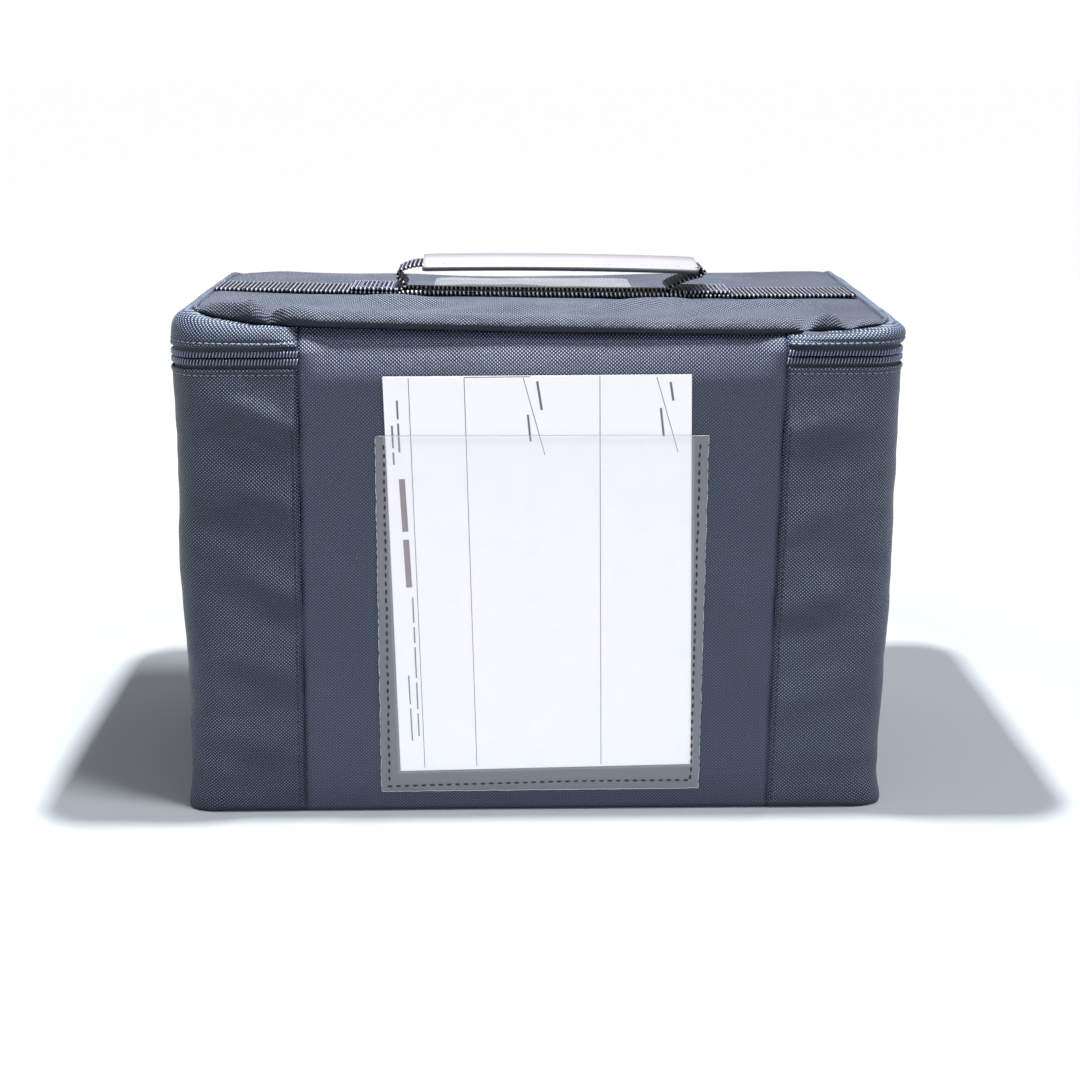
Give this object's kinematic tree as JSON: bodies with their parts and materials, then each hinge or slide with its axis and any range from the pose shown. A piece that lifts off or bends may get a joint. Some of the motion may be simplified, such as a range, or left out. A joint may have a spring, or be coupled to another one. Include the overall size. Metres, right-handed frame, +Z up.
{
  "type": "insulated specimen transport bag",
  "caption": "Soft insulated carrier with a hinged lid zipped round three sides, a sleeved webbing carrying handle on top and a clear label pocket with a card on the front.",
  "frame": {"origin": "middle of the flat bottom, on the surface that the bag stands on", "axes": "+X along the bag to the right as seen from the label side, +Y from the label side to the back, +Z up"},
  "size_m": [0.352, 0.1915, 0.265],
  "materials": {
    "polyester": "plain-woven coated polyester, semi-matte",
    "foam": "closed-cell foam, matte",
    "lining": "wipe-clean coated lining, satin",
    "board": "stiff sheet",
    "binding": "woven tape, matte",
    "zip_tape": "woven tape, matte",
    "zip_coil": "moulded filament, semi-gloss",
    "zip_metal": "enamelled die casting",
    "webbing": "ribbed webbing, semi-matte",
    "clear_sheet": "clear flexible sheet, glossy",
    "sleeve": "clear flexible tube, glossy",
    "card": "coated white card, matte"
  },
  "bodies": {
    "bag": {"front_panel": "polyester", "back_panel": "polyester", "left_gusset": "polyester", "right_gusset": "polyester", "bottom_panel": "polyester", "base_board": "board", "bottom_insulation": "foam", "front_insulation": "foam", "back_insulation": "foam", "left_insulation": "foam", "right_insulation": "foam", "inner_lining": "lining", "mouth_binding": "binding", "lower_zip_tape": "zip_tape", "lower_zip_coil": "zip_coil", "label_pocket": "clear_sheet"},
    "card": {"label_card": "card"},
    "lid": {"lid_front_panel": "polyester", "lid_back_band": "polyester", "lid_left_band": "polyester", "lid_right_band": "polyester", "lid_top_panel": "polyester", "lid_insulation": "foam", "lid_rim_insulation": "foam", "lid_lining": "lining", "lid_binding": "binding", "upper_zip_tape": "zip_tape", "upper_zip_coil": "zip_coil", "lid_seam_left": "binding", "lid_seam_right": "binding", "top_webbing": "webbing", "handle_end_left": "webbing", "handle_end_right": "webbing", "lid_pocket": "clear_sheet"},
    "handle": {"handle_leg_left": "webbing", "handle_leg_right": "webbing"},
    "grip": {"grip_webbing": "webbing", "grip_sleeve": "sleeve"},
    "left_slider": {"slider_left": "zip_metal"},
    "right_slider": {"slider_right": "zip_metal"},
    "left_pull": {"puller_left": "zip_metal"},
    "right_pull": {"puller_right": "zip_metal"}
  },
  "joints": [
    {"name": "lid_hinge", "type": "hinge", "parent": "bag", "child": "lid", "pos_m": [0, -0.0936, 0.229], "axis": [1, 0, 0], "range_deg": [0, 170]},
    {"name": "handle_swing", "type": "hinge", "parent": "lid", "child": "handle", "pos_m": [0, 0, 0.2497], "axis": [1, 0, 0], "range_deg": [-20, 20], "deforming": ["handle_leg_left", "handle_leg_right"]},
    {"name": "handle_lift", "type": "slide", "parent": "handle", "child": "grip", "axis": [0, 0, 1], "range_m": [0, 0.016]},
    {"name": "left_slider_run", "type": "slide", "parent": "bag", "child": "left_slider", "axis": [-1, 0, 0], "range_m": [0, 0.13]},
    {"name": "right_slider_run", "type": "slide", "parent": "bag", "child": "right_slider", "axis": [1, 0, 0], "range_m": [0, 0.13]},
    {"name": "left_pull_turn", "type": "hinge", "parent": "left_slider", "child": "left_pull", "pos_m": [-0.008, 0.096, 0.229], "axis": [0, 0, -1], "range_deg": [0, 150]},
    {"name": "right_pull_turn", "type": "hinge", "parent": "right_slider", "child": "right_pull", "pos_m": [0.008, 0.096, 0.229], "axis": [0, 0, 1], "range_deg": [0, 150]},
    {"name": "card_slide", "type": "slide", "parent": "bag", "child": "card", "axis": [0, 0, -1], "range_m": [-0.18, 0]}
  ]
}
